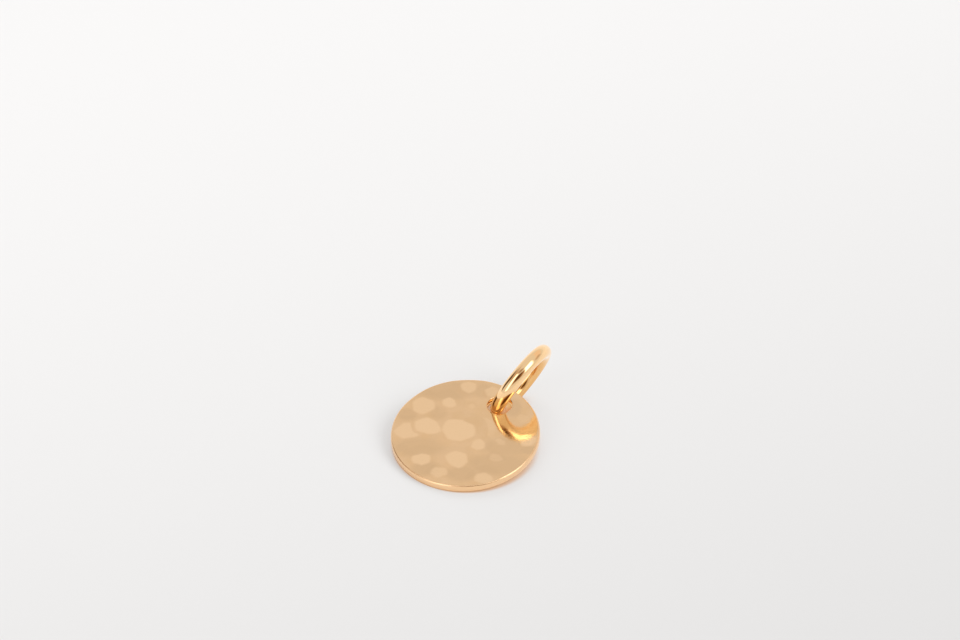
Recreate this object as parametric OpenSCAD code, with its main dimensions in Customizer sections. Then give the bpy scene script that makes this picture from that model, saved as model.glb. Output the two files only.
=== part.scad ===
// Hammered disc charm on a jump ring, lying on a table.
// A thin round blank is drilled near its edge, and a round wire ring passes through the hole.
// The ring lies over on its side under the drilled edge, so it props that edge up.
// The origin is on the table, under the middle of the whole charm.
// X is to the right, Y points from the disc's middle to its hole, and Z is up.

/* [Disc] */
// Diameter of the round blank
disc_d = 9.5; // [9:0.1:10]
// Thickness of the blank
disc_t = 0.52; // [0.44:0.02:0.56]
// Radius of its tumbled outer edges
edge_r = 0.12; // [0.05:0.01:0.2]

/* [Hole] */
// Diameter of the drilled hole
hole_d = 1.6; // [1.56:0.02:1.8]
// Distance from the disc's middle to the hole's middle
hole_out = 3.19; // [3.12:0.01:3.21]
// Depth of the small chamfer on both ends of the hole
hole_chamfer = 0.04; // [0.02:0.01:0.12]

/* [Hammer marks] */
// Radius of the hammer's rounded face
hammer_r = 12; // [6:0.5:30]

/* [Jump ring] */
// Diameter of the round wire
wire_d = 0.93; // [0.8:0.01:0.95]
// Diameter of the ring, from wire middle to wire middle
ring_d = 4.72; // [4.6:0.01:4.8]
// Lean of the ring from upright
ring_lean = 23; // [22:0.25:24]
// Turn of the ring about the vertical, from facing along X
ring_turn = 11.7; // [10:0.1:13]
// Place of the ring's middle, to the right of the disc's middle
ring_right = 0.12; // [0.08:0.01:0.16]
// Place of the ring's middle, out from the disc's middle
ring_out = 4.95; // [4.92:0.01:4.98]

/* [Rest] */
// Tilt of the disc, which lies with one edge on the table and the other on the ring
rest_tilt = 8.1; // [8:0.05:8.3]
// Turn of the line that the disc tilts about, from the X axis
rest_turn = 14.9; // [14:0.1:16]

/* [Hidden] */
$fn = 96;

RIGHT = 0;
UP = 1;
ACROSS = 2;
// One row for each hammer mark on the flat disc: [right, up, across]
MARKS = [
    [-0.50, -0.12, 1.96],
    [-2.24, -1.16, 1.62],
    [-2.76, -2.24, 1.24],
    [-3.80, -0.10, 1.50],
    [-2.62, 1.26, 0.92],
    [-2.70, 3.02, 1.04],
    [-1.34, 3.86, 0.88],
    [-1.30, 1.95, 0.50],
    [1.42, -0.24, 0.88],
    [2.27, 0.86, 0.64],
    [3.00, -0.36, 0.80],
    [1.20, -2.02, 1.46],
    [-0.56, -3.54, 1.08],
    [1.22, -3.55, 1.02],
    [3.58, -2.10, 0.90],
    [1.96, 3.30, 0.82],
    [3.62, 1.95, 0.96],
];

disc_r = disc_d / 2;
ring_r = ring_d / 2;
wire_r = wire_d / 2;

// Directions that the disc and the ring face at rest
disc_face = [sin(rest_turn) * sin(rest_tilt), -cos(rest_turn) * sin(rest_tilt), cos(rest_tilt)];
ring_face = [cos(ring_turn) * cos(ring_lean), sin(ring_turn) * cos(ring_lean), -sin(ring_lean)];

// How far each one reaches from its own middle along axis i
function disc_reach(i) = (disc_r - edge_r) * sqrt(1 - pow(disc_face[i], 2))
    + (disc_t / 2 - edge_r) * abs(disc_face[i]) + edge_r;
function ring_reach(i) = ring_r * sqrt(1 - pow(ring_face[i], 2)) + wire_r;

// Middles of the two pieces, each one just resting on the table
disc_mid = [0, 0, disc_reach(2)];
ring_mid = [ring_right, ring_out, ring_reach(2)];

// Middle of the charm's outline seen from above
function low(i) = min(disc_mid[i] - disc_reach(i), ring_mid[i] - ring_reach(i));
function high(i) = max(disc_mid[i] + disc_reach(i), ring_mid[i] + ring_reach(i));
outline_mid = [(low(0) + high(0)) / 2, (low(1) + high(1)) / 2, 0];

// Disc blank about its own middle, flat, with rounded outer edges
module blank() {
    rotate_extrude() {
        square_z = disc_t - 2 * edge_r;
        translate([0, -disc_t / 2]) square([disc_r - edge_r, disc_t]);
        translate([0, -square_z / 2]) square([disc_r, square_z]);
        for (side = [-1, 1])
            translate([disc_r - edge_r, side * square_z / 2]) circle(r = edge_r, $fn = 48);
    }
}

// Drilled hole with a small chamfer at each face
module drill() {
    flare = hole_chamfer + 0.2;
    translate([0, hole_out, 0]) {
        cylinder(d = hole_d, h = disc_t + 2, center = true);
        for (side = [0, 1])
            mirror([0, 0, side])
                translate([0, 0, disc_t / 2 - hole_chamfer])
                    cylinder(r1 = hole_d / 2, r2 = hole_d / 2 + flare, h = flare);
    }
}

// Shallow round dish that one hammer blow leaves in the upper face
module hammer_mark(right, up, across) {
    depth = hammer_r - sqrt(pow(hammer_r, 2) - pow(across / 2, 2));
    translate([right, up, disc_t / 2 - depth + hammer_r]) sphere(r = hammer_r, $fn = 180);
}

// Drilled and hammered disc, tilted as it rests
module disc() {
    color([0.86, 0.72, 0.54])
        translate(disc_mid - outline_mid)
            rotate(a = rest_tilt, v = [cos(rest_turn), sin(rest_turn), 0])
                difference() {
                    blank();
                    drill();
                    for (mark = MARKS)
                        hammer_mark(mark[RIGHT], mark[UP], mark[ACROSS]);
                }
}

// Closed ring of round wire, leaning as it rests
module jump_ring() {
    color([0.87, 0.66, 0.38])
        translate(ring_mid - outline_mid)
            rotate([0, 0, ring_turn])
                rotate([0, 90 + ring_lean, 0])
                    rotate_extrude()
                        translate([ring_r, 0]) circle(r = wire_r);
}

disc();
jump_ring();
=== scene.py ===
# %% [markdown]
# A hammered disc charm on its jump ring, lying on a pale table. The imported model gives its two
# pieces, disc and jump_ring, at their real size and place. This lesson makes a finer mesh for
# each one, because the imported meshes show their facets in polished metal. Then it gives them
# gold finishes and lights them softly.

# %% Load the frame
import math
from collections import namedtuple

import bmesh
import bpy
import numpy as np
from mathutils import Matrix, Vector
from mathutils.geometry import delaunay_2d_cdt


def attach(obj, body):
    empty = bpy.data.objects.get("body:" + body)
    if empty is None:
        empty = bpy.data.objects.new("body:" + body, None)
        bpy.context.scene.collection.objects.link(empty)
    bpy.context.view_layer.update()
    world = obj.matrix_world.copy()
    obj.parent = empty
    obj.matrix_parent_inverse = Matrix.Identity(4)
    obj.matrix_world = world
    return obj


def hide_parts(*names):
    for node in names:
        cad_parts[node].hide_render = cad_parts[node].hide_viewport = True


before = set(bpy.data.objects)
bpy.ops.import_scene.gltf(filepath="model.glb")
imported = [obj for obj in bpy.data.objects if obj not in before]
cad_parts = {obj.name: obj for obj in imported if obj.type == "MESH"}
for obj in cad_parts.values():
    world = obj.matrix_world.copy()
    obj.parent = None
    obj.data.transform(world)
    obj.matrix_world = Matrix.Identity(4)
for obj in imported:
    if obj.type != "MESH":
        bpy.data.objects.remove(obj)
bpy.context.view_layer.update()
MM = 0.001
print("packed nodes:", sorted(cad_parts))

# %% [markdown]
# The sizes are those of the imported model: a 9.5 mm blank, 0.93 mm wire, and a ring 4.72 mm
# across the middle of its wire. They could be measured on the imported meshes, but the sizes it
# was drawn with are exact. Two angles say how the disc lies, and two say how the ring leans.

# %% Sizes in millimetres, and angles
disc_r = 9.5 / 2
disc_t = 0.52
edge_r = 0.12
hole_r = 1.6 / 2
hole_out = 3.19
hole_chamfer = 0.04
wire_r = 0.93 / 2
ring_r = 4.72 / 2
ring_lean, ring_turn = math.radians(23), math.radians(11.7)
ring_right, ring_out = 0.12, 4.95
rest_tilt, rest_turn = math.radians(8.1), math.radians(14.9)
print("disc:", 2 * disc_r, "mm wide; ring:", round(2 * (ring_r + wire_r), 2), "mm wide outside")

# %% [markdown]
# The disc's far edge lies on the table, and its drilled edge lies on the ring, which leans over
# beneath it. Both could be let fall in a simulation, but sums place them exactly: the way a
# round piece faces tells how far it reaches down from its middle, and that is its height.

# %% How far each piece reaches
disc_face = Vector((
    math.sin(rest_turn) * math.sin(rest_tilt),
    -math.cos(rest_turn) * math.sin(rest_tilt),
    math.cos(rest_tilt),
))
ring_face = Vector((
    math.cos(ring_turn) * math.cos(ring_lean),
    math.sin(ring_turn) * math.cos(ring_lean),
    -math.sin(ring_lean),
))


def disc_reach(axis):
    """How far the disc reaches from its own middle along a world axis."""
    across = math.sqrt(1 - disc_face[axis] ** 2)
    return (disc_r - edge_r) * across + (disc_t / 2 - edge_r) * abs(disc_face[axis]) + edge_r


def ring_reach(axis):
    """How far the ring reaches from its own middle along a world axis."""
    return ring_r * math.sqrt(1 - ring_face[axis] ** 2) + wire_r


print("heights of the middles:", round(disc_reach(2), 3), round(ring_reach(2), 3))

# %% [markdown]
# The charm is centred on the table by the box round both pieces. A pose is one matrix that
# turns a piece and moves it, so each mesh can be built flat, about its own middle.

# %% Resting places
disc_mid = Vector((0, 0, disc_reach(2)))
ring_mid = Vector((ring_right, ring_out, ring_reach(2)))
for axis in (0, 1):
    low = min(disc_mid[axis] - disc_reach(axis), ring_mid[axis] - ring_reach(axis))
    high = max(disc_mid[axis] + disc_reach(axis), ring_mid[axis] + ring_reach(axis))
    middle = (low + high) / 2
    disc_mid[axis] -= middle
    ring_mid[axis] -= middle

tilt_line = Vector((math.cos(rest_turn), math.sin(rest_turn), 0))
disc_pose = Matrix.Translation(disc_mid) @ Matrix.Rotation(rest_tilt, 4, tilt_line)
ring_pose = (
    Matrix.Translation(ring_mid)
    @ Matrix.Rotation(ring_turn, 4, "Z")
    @ Matrix.Rotation(math.radians(90) + ring_lean, 4, "Y")
)
print("disc middle", [round(v, 3) for v in disc_mid], "ring middle", [round(v, 3) for v in ring_mid])

# %% [markdown]
# A long lens far away keeps the disc's outline a clean ellipse, as in product photography.
# A short lens close by would widen the near edge. The camera looks down past the charm's right
# front side, and it aims beyond the charm, because the photograph leaves most of its empty
# room above it.

# %% Camera
camera_bearing = math.radians(42.56)
camera_height = math.radians(37.8)
camera_roll = math.radians(1.63)
camera_distance = 350.6
camera_target = Vector((-8.375, 8.674, 0))

to_camera = Vector((
    math.sin(camera_bearing) * math.cos(camera_height),
    -math.cos(camera_bearing) * math.cos(camera_height),
    math.sin(camera_height),
))
camera_data = bpy.data.cameras.new("camera")
camera_data.lens = 200
camera_data.sensor_width = 36
camera_data.clip_start = 0.01
camera_data.clip_end = 50
camera = bpy.data.objects.new("camera", camera_data)
camera.rotation_mode = "QUATERNION"
camera.location = (camera_target + to_camera * camera_distance) * MM
aim = (-to_camera).to_track_quat("-Z", "Y")
camera.rotation_quaternion = aim @ Matrix.Rotation(camera_roll, 3, "Z").to_quaternion()
bpy.context.scene.collection.objects.link(camera)
bpy.context.scene.camera = camera
print("camera at", [round(v, 3) for v in camera.location])

# %% [markdown]
# Each hammer blow leaves a small flat, and the metal between the flats is pushed up into low
# ridges. Sculpting, a bump map or a table of blows could show this. The table is the one that
# keeps every mark where it is on the real disc and still gives real relief from each side.
# The place, size and depth of a mark are in millimetres, its turn is in degrees, and sides says
# how many sides its outline has. Bright says how much lighter the mark's gold is painted: it
# stands partly for the polish of a last blow and partly for a painted reflection of the brighter
# room that its flat mirrors. It is 1 for a last blow, and low for an older mark that later blows
# have nearly worn away.

# %% Table of hammer marks
Mark = namedtuple("Mark", "right up wide tall turn sides deep bright")
MARKS = [Mark(*row) for row in (
    (-0.50, -0.12, 2.26, 1.90, 15, 7, 0.050, 1.0),
    (-2.24, -1.16, 1.86, 1.38, 12, 6, 0.050, 1.0),
    (-2.92, -2.30, 1.66, 1.46, 50, 5, 0.035, 0.85),
    (-3.69, -0.02, 1.54, 1.50, 8, 6, 0.040, 0.8),
    (-2.62, 1.26, 1.00, 0.84, 0, 6, 0.040, 0.9),
    (-2.63, 3.08, 1.10, 1.00, 0, 6, 0.035, 0.75),
    (-1.21, 3.74, 0.90, 0.96, 41, 5, 0.020, 0.6),
    (-1.30, 1.95, 0.50, 0.48, 0, 5, 0.008, 0.4),
    (1.36, -0.23, 0.92, 1.00, 41, 6, 0.030, 0.9),
    (2.27, 0.86, 0.78, 0.50, 0, 5, 0.004, 0.45),
    (3.00, -0.36, 0.92, 0.68, 20, 5, 0.012, 0.35),
    (1.20, -2.02, 1.60, 1.34, -8, 6, 0.045, 0.95),
    (-0.50, -3.52, 1.30, 1.02, 41, 6, 0.040, 0.95),
    (1.12, -3.60, 1.15, 0.92, 41, 5, 0.035, 0.7),
    (3.64, -2.14, 1.28, 0.96, 25, 6, 0.035, 0.8),
    (1.96, 3.30, 0.92, 0.72, 0, 5, 0.003, 0.3),
    (3.50, 2.05, 1.10, 1.00, 40, 5, 0.0015, 1.0),
    (0.70, 1.10, 1.40, 1.90, 41, 5, 0.001, 0.3),
)]
print(len(MARKS), "hammer marks")

# %% [markdown]
# A mark's outline is an oval whose corners are drawn out a little and whose sides are slightly
# uneven, as a hammer's worn face leaves them. Inside it the metal is flat, and outside it rises
# on a gentle slope. Where slopes meet, the lower one wins, which draws the ridges by itself.

# %% Shape of the hammered face
ridge_slope = math.tan(math.radians(3.4))
corner_share = 0.6
uneven_share = 0.05


def gap_to_mark(x, y, number):
    """Distance outside one mark's outline, in millimetres. It is negative inside the mark."""
    mark = MARKS[number]
    angle = np.arctan2(y - mark.up, x - mark.right) - math.radians(mark.turn)
    oval = mark.wide * mark.tall / 2 / np.hypot(mark.tall * np.cos(angle), mark.wide * np.sin(angle))
    side = 2 * math.pi / mark.sides
    within = np.mod(angle + number, side) - side / 2
    straight = math.cos(side / 2) / np.cos(within)
    corners = 1 + corner_share * (straight / math.cos(side / 4) - 1)
    uneven = 1 + uneven_share * np.sin(3 * angle + 2 * number)
    return np.hypot(x - mark.right, y - mark.up) - oval * corners * uneven


def mark_surface(x, y, number):
    """Height that one mark would give: a flat floor, and a slope that rises outside it."""
    return ridge_slope * np.maximum(gap_to_mark(x, y, number), 0) - MARKS[number].deep


def hammered_face(x, y):
    """The face's height at each point, and the number of the mark that shapes it there."""
    heights = np.array([mark_surface(x, y, number) for number in range(len(MARKS))])
    owner = heights.argmin(axis=0)
    height = np.take_along_axis(heights, owner[None], 0)[0]
    return np.minimum(height, 0), owner


low_point = hammered_face(np.array([0.0]), np.array([0.0]))[0][0]
print("the face is", round(-float(low_point), 3), "mm deep at the disc's middle")

# %% [markdown]
# Two things change the tone of the face. The first is a lighter tone on the marks: partly the
# polish that a fresh blow leaves on the metal beneath it, and partly a painted reflection, since
# the flats mirror a brighter part of the room than the ground does. Its edge fades over about
# 0.2 mm. A noise texture would scatter such spots anywhere, so each point asks the mark that
# shapes it.

# %% Lighter marks: polish and painted reflection
fade_inside, fade_outside = 0.13, 0.10


def smooth_step(value, low, high):
    """Rises smoothly from 0 to 1 between two values."""
    part = np.clip((value - low) / (high - low), 0, 1)
    return part * part * (3 - 2 * part)


def burnish_and_sheen_at(x, y):
    """How much lighter each point is painted, for polish and painted reflection, by the mark that
    shapes the face there.
    """
    owner = hammered_face(x, y)[1]
    gaps = np.array([gap_to_mark(x, y, number) for number in range(len(MARKS))])
    own_gap = np.take_along_axis(gaps, owner[None], 0)[0]
    inside = 1 - smooth_step(own_gap, -fade_inside, fade_outside)
    return np.array([mark.bright for mark in MARKS])[owner] * inside


middle_burnish_and_sheen = burnish_and_sheen_at(np.array([0.0]), np.array([0.0]))[0]
print("burnishing at the disc's middle:", round(float(middle_burnish_and_sheen), 2))

# %% [markdown]
# The second is a set of wide, soft, darker patches between the fresh marks. They are a painted
# reflection: old facets, tilted a little, mirror darker parts of the room there. Each is an oval,
# all turned the same way, and where two overlap the darker one counts.

# %% Painted darker patches
patch_turn = math.radians(41)
patch_core, patch_reach = 0.6, 1.25
Patch = namedtuple("Patch", "right up wide tall dull")
PATCHES = [Patch(*row) for row in (
    (-3.91, -1.28, 1.4, 1.1, 0.9),
    (-3.40, 1.98, 3.9, 1.8, 0.9),
    (-1.66, 3.40, 1.3, 1.4, 0.7),
    (-1.38, -2.93, 3.6, 1.7, 0.75),
    (-2.10, -3.60, 1.0, 0.9, 1.0),
    (0.24, -3.98, 1.8, 1.4, 1.0),
    (2.32, -2.75, 2.1, 1.5, 0.9),
    (3.46, -0.71, 4.2, 2.0, 0.9),
    (2.95, 0.84, 3.6, 1.7, 0.8),
    (4.14, 1.53, 1.4, 0.8, 1.0),
    (0.82, 3.55, 1.2, 1.7, 1.0),
    (-2.50, 0.15, 1.2, 1.3, 0.55),
)]


def dim_sheen_at(x, y):
    """How much darker each point is painted, from the patch that covers it most."""
    most = np.zeros(len(x))
    for patch in PATCHES:
        right, up = x - patch.right, y - patch.up
        along = right * math.cos(patch_turn) + up * math.sin(patch_turn)
        across = up * math.cos(patch_turn) - right * math.sin(patch_turn)
        out = np.hypot(2 * along / patch.wide, 2 * across / patch.tall)
        most = np.maximum(most, patch.dull * (1 - smooth_step(out, patch_core, patch_reach)))
    return most


print(len(PATCHES), "worn patches")

# %% [markdown]
# The face is a sheet of small triangles. A grid pushed up and down would blur the marks, and a
# subdivision surface would round them off. So the sheet starts from lines: the two round edges
# and the outline of each mark, which becomes a line of real edges.

# %% Edges and outlines of the face
grid_step = 0.06
tiny = 1e-6
face_r = disc_r - edge_r
mouth_r = hole_r + hole_chamfer
edge_count = 480
mouth_count = 120


def round_points(radius, middle, count):
    """Points on a circle in the disc's plane."""
    angles = np.arange(count) * 2 * math.pi / count
    return np.stack([middle[0] + radius * np.cos(angles), middle[1] + radius * np.sin(angles)], 1)


def mark_outline(number):
    """Points along one mark's outline, where its gap is zero."""
    mark = MARKS[number]
    count = int(math.pi * (mark.wide + mark.tall) / 2 / grid_step)
    angles = np.arange(count) * 2 * math.pi / count
    along, up = np.cos(angles), np.sin(angles)
    reach = -gap_to_mark(mark.right + tiny * along, mark.up + tiny * up, number)
    return np.stack([mark.right + reach * along, mark.up + reach * up], 1)


edge_loop = round_points(face_r, (0, 0), edge_count)
mouth_loop = round_points(mouth_r, (0, hole_out), mouth_count)
print("points on the first mark's outline:", len(mark_outline(0)))

# %% [markdown]
# An even grid fills the space between the lines. Every second row is shifted by half a step,
# which makes well shaped triangles. Points too near a line would make slivers, so they go.

# %% Points of the face
edge_clear = grid_step * 0.6
mark_clear = grid_step * 0.45
outline_clear = grid_step * 0.4
same_level = 0.001


def on_face(points, margin):
    """Which points lie on the flat of the face, clear of both edges by a margin."""
    from_middle = np.hypot(points[:, 0], points[:, 1])
    from_hole = np.hypot(points[:, 0], points[:, 1] - hole_out)
    return (from_middle < face_r - margin) & (from_hole > mouth_r + margin)


def face_points():
    """Grid points kept clear of the outlines, and the outlines where they show."""
    steps = np.arange(-disc_r, disc_r, grid_step)
    rows = np.arange(-disc_r, disc_r, grid_step * math.sqrt(3) / 2)
    grid = np.array([
        (x + (row % 2) * grid_step / 2, y) for row, y in enumerate(rows) for x in steps
    ])
    grid = grid[on_face(grid, edge_clear)]
    for number in range(len(MARKS)):
        gap = gap_to_mark(grid[:, 0], grid[:, 1], number)
        grid = grid[np.abs(gap) > mark_clear]
    outlines = []
    for number, mark in enumerate(MARKS):
        outline = mark_outline(number)
        height = hammered_face(outline[:, 0], outline[:, 1])[0]
        showing = height > -mark.deep - same_level
        outlines.append(outline[showing & on_face(outline, outline_clear)])
    return np.concatenate([grid] + outlines)


inner_points = face_points()
print("face:", len(inner_points), "points inside its two edges")

# %% [markdown]
# The points could be joined by hand-made rules, row by row, but the outlines cross the rows at
# every angle. A Delaunay triangulation joins any set of points with the best shaped triangles,
# and it keeps the two round edges as they are. Triangles over the hole are left out.

# %% Triangles of the face
round_the_border = edge_count + mouth_count


def triangulate(inner):
    """Places and triangles of the face, and which of its points lie round the two edges."""
    points = np.concatenate([edge_loop, mouth_loop, inner])
    edges = [(i, (i + 1) % edge_count) for i in range(edge_count)]
    edges += [(edge_count + i, edge_count + (i + 1) % mouth_count) for i in range(mouth_count)]
    joined = delaunay_2d_cdt([Vector(p) for p in points], edges, [], 0, tiny)
    verts, faces, origins = joined[0], joined[2], joined[3]
    place = {origin[0]: index for index, origin in enumerate(origins) if origin}
    xy = np.array([tuple(v) for v in verts])
    middles = np.array([xy[list(face)].mean(axis=0) for face in faces])
    kept = [face for face, keep in zip(faces, on_face(middles, 0)) if keep]
    return xy, kept, [place[i] for i in range(round_the_border)]


face_xy, face_triangles, border = triangulate(inner_points)
print("face:", len(face_triangles), "triangles")

# %% [markdown]
# The blank is punched from sheet and tumbled, so its outer edges are small quarter circles,
# and the drilled hole has a fine chamfer at each mouth. A bevel would need clean, square edges,
# and this face is uneven. So each wall is drawn as a short profile, given as steps away from
# the face's edge and up or down from it.

# %% Profiles of the rim and the hole
round_steps = 6


def edge_profile():
    """The blank's rim from its face down to its back: (outward from the face's edge, height)."""
    top = [(edge_r * math.sin(a), edge_r * (math.cos(a) - 1))
           for a in np.linspace(0, math.pi / 2, round_steps + 1)[1:]]
    bottom = [(out, -disc_t - up) for out, up in reversed(top)]
    return top + bottom + [(0, -disc_t)]


def hole_profile():
    """The hole's wall from the face to the back: (inward from the hole's mouth, height)."""
    return [
        (hole_chamfer * 0.5, -hole_chamfer * 0.35),
        (hole_chamfer, -hole_chamfer),
        (hole_chamfer, -disc_t / 2),
        (hole_chamfer, hole_chamfer - disc_t),
        (hole_chamfer * 0.5, hole_chamfer * 0.35 - disc_t),
        (0, -disc_t),
    ]


print("profiles:", len(edge_profile()), "steps for the rim and", len(hole_profile()), "for the hole")

# %% [markdown]
# Each profile is swept round its edge. At the top it follows the hammered face, and on the way
# down this fades out, so that the back is plain and flat. A Screw modifier sweeps a profile
# too, but it can't start from an uneven edge and end on a flat one.

# %% Walls of the disc


def sweep(bm, loop, flat, middle, profile, outward):
    """Walls from a loop of vertices along a profile, away from a middle point or towards it."""
    rows = [loop]
    for out, height in profile:
        row = []
        for vert, point in zip(loop, flat):
            away = Vector((point[0] - middle[0], point[1] - middle[1], 0)).normalized()
            fade = 1 + height / disc_t
            spot = Vector((point[0], point[1], disc_t / 2 + height)) + away * out * outward
            spot.z += (vert.co.z - disc_t / 2) * fade
            row.append(bm.verts.new(spot))
        rows.append(row)
    count = len(loop)
    for upper, lower in zip(rows, rows[1:]):
        for i in range(count):
            j = (i + 1) % count
            quad = (upper[i], lower[i], lower[j], upper[j])
            bm.faces.new(quad if outward > 0 else quad[::-1])
    return rows[-1]


print("walls:", edge_count, "strips round the rim and", mouth_count, "in the hole")

# %% [markdown]
# The face, the walls and a flat back make one closed mesh, with no loose points and with all
# faces turned outward. The back doesn't show in the photograph, so it is left plain.

# %% Disc mesh


def make_disc():
    """The hammered disc as one closed mesh, in millimetres."""
    heights = hammered_face(face_xy[:, 0], face_xy[:, 1])[0] + disc_t / 2
    bm = bmesh.new()
    verts = [bm.verts.new((x, y, z)) for (x, y), z in zip(face_xy, heights)]
    for a, b, c in face_triangles:
        bm.faces.new((verts[a], verts[b], verts[c]))
    edge = [verts[i] for i in border[:edge_count]]
    mouth = [verts[i] for i in border[edge_count:]]
    back_edge = sweep(bm, edge, edge_loop, (0, 0), edge_profile(), 1)
    back_mouth = sweep(bm, mouth, mouth_loop, (0, hole_out), hole_profile(), -1)
    outline = [(a, b) for ring in (back_edge, back_mouth) for a, b in zip(ring, ring[1:] + ring[:1])]
    bmesh.ops.triangle_fill(bm, edges=[bm.edges.get(pair) for pair in outline], use_beauty=True)
    bmesh.ops.delete(bm, geom=[v for v in bm.verts if not v.link_faces], context="VERTS")
    bmesh.ops.recalc_face_normals(bm, faces=bm.faces)
    return bm


disc_bm = make_disc()
print("disc:", len(disc_bm.faces), "faces")

# %% [markdown]
# A picture could say where the gold is lighter or darker, but it would need to be painted and
# unwrapped. Here each point of the mesh keeps three numbers that its material reads: how much
# lighter its gold is painted (polish and painted reflection), how much darker (painted
# reflection), and whether it is part of the rim, which tumbling leaves satin.

# %% Values kept on the disc's points
# How much of the lighter tone the rim gets: a painted reflection of the paper it mirrors, with some
# tumbled polish.
rim_sheen = 0.55
rim_margin = 0.01


def paint_disc(bm):
    """Stores how much lighter each point is painted (polish and painted reflection), how much darker
    (painted reflection), and how satin it is.
    """
    burnish_and_sheen = bm.verts.layers.float.new("burnish_and_sheen")
    dull = bm.verts.layers.float.new("dull")
    satin = bm.verts.layers.float.new("satin")
    x, y, z = np.array([vert.co for vert in bm.verts]).T
    on_top = z > 0
    on_rim = np.hypot(x, y) > face_r + rim_margin
    # Lighter marks and darker patches are painted reflections; the marks stand partly for polish too.
    bright = burnish_and_sheen_at(x, y) * on_top
    # The rim gets part of the lighter tone, a painted reflection of the bright paper in front of it.
    bright[on_rim] = rim_sheen
    dim_sheen_amount = dim_sheen_at(x, y) * on_top
    for vert, shine, dimness, rim in zip(bm.verts, bright, dim_sheen_amount, on_rim):
        vert[burnish_and_sheen] = shine
        vert[dull] = dimness
        vert[satin] = rim
    for face in bm.faces:
        face.smooth = True


paint_disc(disc_bm)
print("the disc's points keep:", disc_bm.verts.layers.float.keys())

# %% [markdown]
# A mesh shows only through an object that is linked to the scene. The mesh is in millimetres
# and lies flat, so on its way it is scaled to metres and put in its resting place. An object's
# own scale could do that, but real sizes in the mesh keep bumps and textures true.

# %% Disc in its place


def new_piece(bm, name, pose):
    """Turns a mesh in millimetres into a piece of the scene, in metres and in its place."""
    mesh = bpy.data.meshes.new(name)
    bm.to_mesh(mesh)
    bm.free()
    mesh.transform(Matrix.Scale(MM, 4) @ pose)
    piece = bpy.data.objects.new(name, mesh)
    bpy.context.scene.collection.objects.link(piece)
    print(name, "has", len(mesh.polygons), "faces")
    return piece


hammered_disc = new_piece(disc_bm, "hammered_disc", disc_pose)

# %% [markdown]
# The jump ring is one closed ring of round wire: wire is wound on a rod, cut, and closed in the
# hole. Blender has a torus and bevelled curves for this. The loops are written out here,
# because a polished wire needs many even steps, or every flat shows as a kink in its highlights.

# %% Jump ring
ring_steps = 288
wire_steps = 72


def make_ring():
    """A fine torus about the Z axis, in millimetres."""
    bm = bmesh.new()
    rows = []
    for step in range(ring_steps):
        turn = 2 * math.pi * step / ring_steps
        row = []
        for side in range(wire_steps):
            round_wire = 2 * math.pi * side / wire_steps
            out = ring_r + wire_r * math.cos(round_wire)
            spot = (out * math.cos(turn), out * math.sin(turn), wire_r * math.sin(round_wire))
            row.append(bm.verts.new(spot))
        rows.append(row)
    for row, following in zip(rows, rows[1:] + rows[:1]):
        for side in range(wire_steps):
            beyond = (side + 1) % wire_steps
            face = bm.faces.new((row[side], following[side], following[beyond], row[beyond]))
            face.smooth = True
    bmesh.ops.recalc_face_normals(bm, faces=bm.faces)
    return bm


wire_jump_ring = new_piece(make_ring(), "wire_jump_ring", ring_pose)

# %% [markdown]
# Materials are built from nodes. They could be joined by hand in the editor, but a script can
# be run again. Four small helpers keep it short: one adds a node with some set values, one sets
# a socket or links it, one does sums, and one mixes two colours. The Mix node lists its sockets
# for numbers, vectors and colours together, so the ones for colours are found by their place.

# %% Helpers for nodes
mix_factor, mix_low, mix_high, mixed_colour = 0, 6, 7, 2


def add_node(tree, kind, values=None):
    """Adds a shader node, with set values for some of its inputs."""
    node = tree.nodes.new("ShaderNode" + kind)
    for socket, value in (values or {}).items():
        node.inputs[socket].default_value = value
    return node


def feed(tree, value, socket):
    """Sets a socket to a number or a colour, or links it to another node's output."""
    if isinstance(value, bpy.types.NodeSocket):
        tree.links.new(value, socket)
    else:
        socket.default_value = value


def maths(tree, operation, *values):
    """The result of a sum on numbers or on other nodes' outputs."""
    node = add_node(tree, "Math")
    node.operation = operation
    for value, socket in zip(values, node.inputs):
        feed(tree, value, socket)
    return node.outputs[0]


def mix_colours(tree, factor, low, high):
    """The mix of two colours: low where the factor is 0, and high where it is 1."""
    mix = add_node(tree, "Mix")
    mix.data_type = "RGBA"
    feed(tree, factor, mix.inputs[mix_factor])
    feed(tree, low, mix.inputs[mix_low])
    feed(tree, high, mix.inputs[mix_high])
    return mix.outputs[mixed_colour]


print("helpers for nodes are ready")

# %% [markdown]
# Polishing leaves a faint, uneven haze on gold. Both pieces have it, so it is a node group,
# built once and given its own values in each material. It puts out a roughness, a fine height
# for the bump, and a soft cloudy mask that can vary the tone.

# %% Shared effect: polishing haze
cloud_scale = 900
cloud_low, cloud_high = 0.35, 0.65


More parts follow.
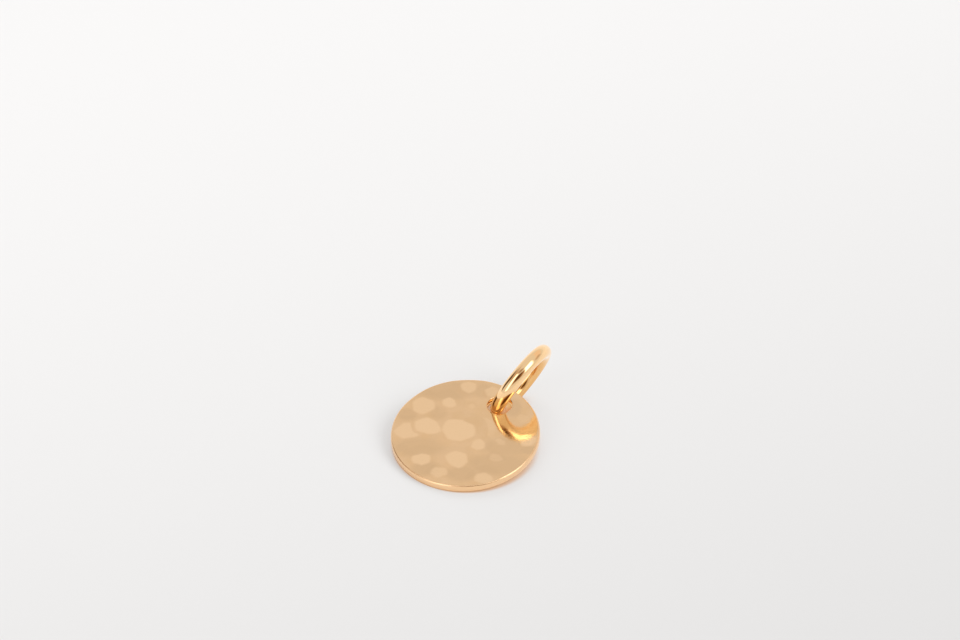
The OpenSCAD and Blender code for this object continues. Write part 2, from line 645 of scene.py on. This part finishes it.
def make_haze_group():
    """Node group: fine uneven polish, as a roughness, a height and a soft cloudy mask."""
    group = bpy.data.node_groups.new("polishing_haze", "ShaderNodeTree")
    for name, value in (("Roughness", 0.1), ("Variation", 0.03), ("Scale", 900.0)):
        socket = group.interface.new_socket(name, in_out="INPUT", socket_type="NodeSocketFloat")
        socket.default_value = value
    for name in ("Roughness", "Height", "Cloud"):
        group.interface.new_socket(name, in_out="OUTPUT", socket_type="NodeSocketFloat")
    entry = group.nodes.new("NodeGroupInput")
    leave = group.nodes.new("NodeGroupOutput")
    place = add_node(group, "TexCoord").outputs["Object"]
    fine = add_node(group, "TexNoise", {"Detail": 4})
    feed(group, place, fine.inputs["Vector"])
    feed(group, entry.outputs["Scale"], fine.inputs["Scale"])
    swing = maths(group, "SUBTRACT", fine.outputs["Fac"], 0.5)
    amount = maths(group, "MULTIPLY_ADD", swing, entry.outputs["Variation"], entry.outputs["Roughness"])
    cloud = add_node(group, "TexNoise", {"Scale": cloud_scale, "Detail": 3})
    feed(group, place, cloud.inputs["Vector"])
    spread = add_node(group, "MapRange", {"From Min": cloud_low, "From Max": cloud_high})
    feed(group, cloud.outputs["Fac"], spread.inputs["Value"])
    feed(group, amount, leave.inputs["Roughness"])
    feed(group, fine.outputs["Fac"], leave.inputs["Height"])
    feed(group, spread.outputs["Result"], leave.inputs["Cloud"])
    return group


haze_group = make_haze_group()
print("group:", haze_group.name)

# %% [markdown]
# Both golds are one Principled shader, fully metallic, with the haze on its normal. Gold that
# shows in gold counts its colour twice and would turn a deep orange. The photograph shows it
# paler, so rays that come by way of a mirror see a paler gold. The Light Path node tells which
# rays these are.

# %% Helpers for both golds
haze_depth = 0.00002


def new_metal(name):
    """A material with a fully metallic shader, and that shader's tree and node."""
    material = bpy.data.materials.new(name)
    material.use_nodes = True
    tree = material.node_tree
    shader = tree.nodes["Principled BSDF"]
    shader.inputs["Metallic"].default_value = 1
    return material, tree, shader


def add_haze(tree, shader, roughness, variation, scale, bump):
    """Puts the shared haze on a shader's normal, and returns the haze's node."""
    haze = add_node(tree, "Group")
    haze.node_tree = haze_group
    for name, value in (("Roughness", roughness), ("Variation", variation), ("Scale", scale)):
        haze.inputs[name].default_value = value
    relief = add_node(tree, "Bump", {"Strength": bump, "Distance": haze_depth})
    feed(tree, haze.outputs["Height"], relief.inputs["Height"])
    feed(tree, relief.outputs["Normal"], shader.inputs["Normal"])
    return haze


def tone_by_ray(tree, seen_directly, seen_in_mirror):
    """One tone for what the camera sees directly, and another for what it sees in a mirror."""
    is_mirrored = add_node(tree, "LightPath").outputs["Is Glossy Ray"]
    return mix_colours(tree, is_mirrored, seen_directly, seen_in_mirror)


print("helpers for gold are ready")

# %% [markdown]
# The disc is a pale, softly polished gold. One flat colour would hide its hammer marks from
# above, where their slopes are too gentle to show. On the real face the fresh marks look
# lighter, partly from their polish and partly because they mirror a brighter part of the room,
# and that lighter tone is painted in, partly as a painted reflection. The ground between them is
# deeper and a little cloudy, and darker patches are painted where the face mirrors darker parts
# of the room. The rim has the same gold, with part of the lighter tone painted on as a
# reflection of the paper, and is rougher, so its highlights are wide and soft.

# %% Gold of the disc
ridge_gold = (0.90, 0.595, 0.338, 1)
deep_gold = (0.87, 0.565, 0.305, 1)
# Darker gold of the patches: a painted reflection of darker parts of the room.
dim_sheen_gold = (0.805, 0.53, 0.295, 1)
# Lighter gold of the marks and rim: partly polish, partly a painted reflection.
burnish_and_sheen_gold = (0.975, 0.66, 0.385, 1)
mirrored_disc = (0.92, 0.66, 0.36, 1)
satin_roughness = 0.22


def face_value(tree, name):
    """Reads one of the numbers that the disc's points keep."""
    reader = add_node(tree, "Attribute")
    reader.attribute_name = name
    return reader.outputs["Fac"]


hammered_gold, tree, shader = new_metal("hammered_gold")
haze = add_haze(tree, shader, roughness=0.10, variation=0.04, scale=7000, bump=0.12)
satin = face_value(tree, "satin")
roughness = maths(tree, "MULTIPLY_ADD", satin, satin_roughness, haze.outputs["Roughness"])
feed(tree, roughness, shader.inputs["Roughness"])
ground = mix_colours(tree, haze.outputs["Cloud"], deep_gold, ridge_gold)
# Painted reflections: darker patches, then lighter marks that stand partly for polish.
ground = mix_colours(tree, face_value(tree, "dull"), ground, dim_sheen_gold)
tone = mix_colours(tree, face_value(tree, "burnish_and_sheen"), ground, burnish_and_sheen_gold)
feed(tree, tone_by_ray(tree, tone, mirrored_disc), shader.inputs["Base Color"])
hammered_disc.data.materials.append(hammered_gold)
print("material:", hammered_gold.name)

# %% [markdown]
# The ring is a yellower gold with a mirror polish, and most of its look is what it reflects.
# Where it is closed in, inside the hole and close to the disc, light goes from gold to gold
# many times and the photograph shows a deep amber. More light bounces could give this slowly.
# A mask from the Ambient Occlusion node, which feels how open each point lies, gives it at once.

# %% Gold of the ring
open_wire = (0.99, 0.675, 0.362, 1)
closed_in_wire = (0.80, 0.44, 0.15, 1)
mirrored_wire = (1, 0.80, 0.49, 1)


def openness(tree, distance, low, high):
    """How open each point lies: 0 where other surfaces close it in, and 1 in the open."""
    nearby = add_node(tree, "AmbientOcclusion", {"Distance": distance})
    spread = add_node(tree, "MapRange", {"From Min": low, "From Max": high})
    feed(tree, nearby.outputs["AO"], spread.inputs["Value"])
    return spread.outputs["Result"]


polished_gold, tree, shader = new_metal("polished_gold")
haze = add_haze(tree, shader, roughness=0.07, variation=0.03, scale=900, bump=0.1)
feed(tree, haze.outputs["Roughness"], shader.inputs["Roughness"])
how_open = openness(tree, distance=0.004, low=0.55, high=0.92)
tone = mix_colours(tree, how_open, closed_in_wire, open_wire)
feed(tree, tone_by_ray(tree, tone, mirrored_wire), shader.inputs["Base Color"])
wire_jump_ring.data.materials.append(polished_gold)
print("material:", polished_gold.name)

# %% [markdown]
# The table is a plain sheet, so wide that its edges are out of sight. Directions in the room
# are given as a bearing, clockwise from the way the camera looks, and a height above the
# horizon, both in degrees. They are fixed in the room, and stay where they are in other views.

# %% Table
table_half = 3.0


def room_way(bearing, height):
    """Unit vector to a place in the room, from its bearing and height."""
    turn = math.radians(bearing) - camera_bearing
    lift = math.radians(height)
    return Vector((math.sin(turn) * math.cos(lift), math.cos(turn) * math.cos(lift), math.sin(lift)))


table_mesh = bpy.data.meshes.new("table")
corners = [(-table_half, -table_half, 0), (table_half, -table_half, 0),
           (table_half, table_half, 0), (-table_half, table_half, 0)]
table_mesh.from_pydata(corners, [], [(0, 1, 2, 3)])
table = bpy.data.objects.new("table", table_mesh)
bpy.context.scene.collection.objects.link(table)
print("table is", 2 * table_half, "m wide")

# %% [markdown]
# In the photograph the sheet is almost white and a little lighter towards its far left. Strong
# lamps could do that, but they would bleach the gold. So most of the paper's light is a glow of
# its own, and the lamps add little but the shadows. Close under the charm the glow gives way to
# a warm shade, which stands for light that the gold throws down. Mirror rays see the glow a
# little brighter, because the real wire shows the paper brighter than it looks directly.

# %% Paper of the table
dim_paper = (0.19, 0.19, 0.19, 1)
lit_paper = (0.257, 0.257, 0.257, 1)
warm_shade = (0.20, 0.10, 0.035, 1)
lighter_side = -28
dim_at, lit_at = -0.085, 0.060
paper_glow, mirrored_glow = 2.06, 0.44

table_paper = bpy.data.materials.new("table_paper")
table_paper.use_nodes = True
tree = table_paper.node_tree
shader = tree.nodes["Principled BSDF"]
shader.inputs["Roughness"].default_value = 0.9
shader.inputs["Specular IOR Level"].default_value = 0.1
across = add_node(tree, "VectorMath", {1: room_way(lighter_side, 0)})
across.operation = "DOT_PRODUCT"
feed(tree, add_node(tree, "TexCoord").outputs["Object"], across.inputs[0])
falloff = add_node(tree, "MapRange", {"From Min": dim_at, "From Max": lit_at})
falloff.interpolation_type = "SMOOTHSTEP"
feed(tree, across.outputs["Value"], falloff.inputs["Value"])
paper_tone = mix_colours(tree, falloff.outputs["Result"], dim_paper, lit_paper)
feed(tree, paper_tone, shader.inputs["Base Color"])
how_open = openness(tree, distance=0.008, low=0.32, high=0.55)
glow = mix_colours(tree, how_open, warm_shade, paper_tone)
feed(tree, glow, shader.inputs["Emission Color"])
is_mirrored = add_node(tree, "LightPath").outputs["Is Glossy Ray"]
strength = maths(tree, "MULTIPLY_ADD", is_mirrored, mirrored_glow, paper_glow)
feed(tree, strength, shader.inputs["Emission Strength"])
table.data.materials.append(table_paper)
print("material:", table_paper.name)

# %% [markdown]
# Polished metal shows the room itself: soft boxes draw the bright bands on the wire, and dark
# flags draw the streaks. Real boxes would need many objects round the charm. Here the room is
# a soft white dome, written as a world shader, with each box or flag laid over it as a panel.
# Angles are in degrees, a brightness of 1 is white, and a warmth of 1 is the full warm tint.

# %% Boxes and flags of the room
room_base = 0.81
warm_tint = (1, 0.55, 0.22)
Panel = namedtuple("Panel", "bearing height half_width half_height soft_edge brightness warmth")
ROOM = [Panel(*row) for row in (
    (0, 8, 80, 12, 10, 0.98, 0),
    (-155, 68, 16, 8, 5, 0.44, 0.55),
    (-92, 46, 22, 16, 8, 0.60, 0.5),
    (-72, 17, 15, 20, 8, 0.12, 1),
    (169, 34, 26, 17, 7, 0.41, 0.9),
    (172, 37, 15, 14, 5, 0.12, 1),
    (-141, 31, 11, 27, 4, 2.2, 0),
    (36, 40, 26, 13, 6, 0.9, 0.35),
    (74, 28, 12, 10, 6, 0.62, 0.45),
    (116, 43, 15, 22, 5, 2.6, 0),
    (-8, 50, 3.8, 3.8, 2.0, 0.84, 0),
)]
print("room:", len(ROOM), "soft boxes and flags")

# %% [markdown]
# A panel's mask says how far inside it a direction points. The direction is set against the
# panel's middle, its right and its up, which gives flat, square panels with soft edges. All
# panels need the same sums, so they are one node group.

# %% Mask of one panel
behind_limit = 0.05


def make_panel_group():
    """Node group: mask of a soft-edged square panel, seen in a direction."""
    group = bpy.data.node_groups.new("soft_panel", "ShaderNodeTree")
    for name, kind in (("Direction", "Vector"), ("Middle", "Vector"), ("Right", "Vector"),
                       ("Up", "Vector"), ("Half Width", "Float"), ("Half Height", "Float"),
                       ("Soft Edge", "Float")):
        group.interface.new_socket(name, in_out="INPUT", socket_type="NodeSocket" + kind)
    group.interface.new_socket("Mask", in_out="OUTPUT", socket_type="NodeSocketFloat")
    entry = group.nodes.new("NodeGroupInput")
    leave = group.nodes.new("NodeGroupOutput")

    def reach(axis):
        """How far the direction goes along one of the panel's axes."""
        near = add_node(group, "VectorMath")
        near.operation = "DOT_PRODUCT"
        feed(group, entry.outputs["Direction"], near.inputs[0])
        feed(group, entry.outputs[axis], near.inputs[1])
        return near.outputs["Value"]

    ahead = reach("Middle")
    mask = maths(group, "GREATER_THAN", ahead, behind_limit)
    for axis, half in (("Right", "Half Width"), ("Up", "Half Height")):
        sideways = maths(group, "ABSOLUTE", maths(group, "DIVIDE", reach(axis), ahead))
        inside = maths(group, "SUBTRACT", entry.outputs[half], sideways)
        edge = add_node(group, "MapRange", {"From Min": -1})
        edge.interpolation_type = "SMOOTHSTEP"
        softened = maths(group, "DIVIDE", inside, entry.outputs["Soft Edge"])
        feed(group, softened, edge.inputs["Value"])
        mask = maths(group, "MULTIPLY", mask, edge.outputs["Result"])
    feed(group, mask, leave.inputs["Mask"])
    return group


panel_group = make_panel_group()
print("group:", panel_group.name)

# %% [markdown]
# The room starts at its base brightness, and each panel is mixed over what is there already,
# so a later row covers an earlier one. Warm panels stand for dim corners of the room, which
# the gold shows as brown.

# %% Room light


def half_size(degrees):
    """Half an angle's reach on a panel one unit away."""
    return math.tan(math.radians(degrees))


def make_room():
    """World shader: the dome's base brightness with each panel laid over it in turn."""
    world = bpy.data.worlds.new("room")
    world.use_nodes = True
    tree = world.node_tree
    place = add_node(tree, "TexCoord").outputs["Generated"]
    light = (room_base, room_base, room_base, 1)
    for row in ROOM:
        panel = add_node(tree, "Group")
        panel.node_tree = panel_group
        middle = room_way(row.bearing, row.height)
        right = room_way(row.bearing + 90, 0)
        for name, value in (("Middle", middle), ("Right", right), ("Up", right.cross(middle)),
                            ("Half Width", half_size(row.half_width)),
                            ("Half Height", half_size(row.half_height)),
                            ("Soft Edge", half_size(row.soft_edge))):
            panel.inputs[name].default_value = value
        feed(tree, place, panel.inputs["Direction"])
        colour = tuple(row.brightness * (1 + row.warmth * (tint - 1)) for tint in warm_tint) + (1,)
        light = mix_colours(tree, panel.outputs["Mask"], light, colour)
    background = tree.nodes["Background"]
    background.inputs["Strength"].default_value = 1
    feed(tree, light, background.inputs["Color"])
    return world


bpy.context.scene.world = make_room()
bpy.context.scene.view_settings.view_transform = "Standard"
print("world:", bpy.context.scene.world.name)

# %% [markdown]
# The dome alone leaves almost no shadow. Two wide suns give the soft shadow on the charm's
# left and the shade in front of it. They are kept out of reflections, because the panels
# already stand for what the gold mirrors.

# %% Two soft suns
sun_width = math.radians(40)
for name, bearing, height, energy in (
    ("right_light", 112, 40, 2.4),
    ("back_light", 0, 45, 1.07),
):
    lamp_data = bpy.data.lights.new(name, "SUN")
    lamp_data.energy = energy
    lamp_data.angle = sun_width
    lamp = bpy.data.objects.new(name, lamp_data)
    lamp.rotation_euler = room_way(bearing, height).to_track_quat("Z", "Y").to_euler()
    lamp.visible_glossy = False
    bpy.context.scene.collection.objects.link(lamp)
    print("sun:", name)

# %% [markdown]
# Each fine mesh stands for its imported node, and rides on the charm's one body.

# %% Join the pieces to the frame
for piece, node, slot in (
    (hammered_disc, "disc", "hammered_gold"),
    (wire_jump_ring, "jump_ring", "polished_gold"),
):
    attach(piece, "root")
    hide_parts(node)
    print(piece.name, "replaces", node)
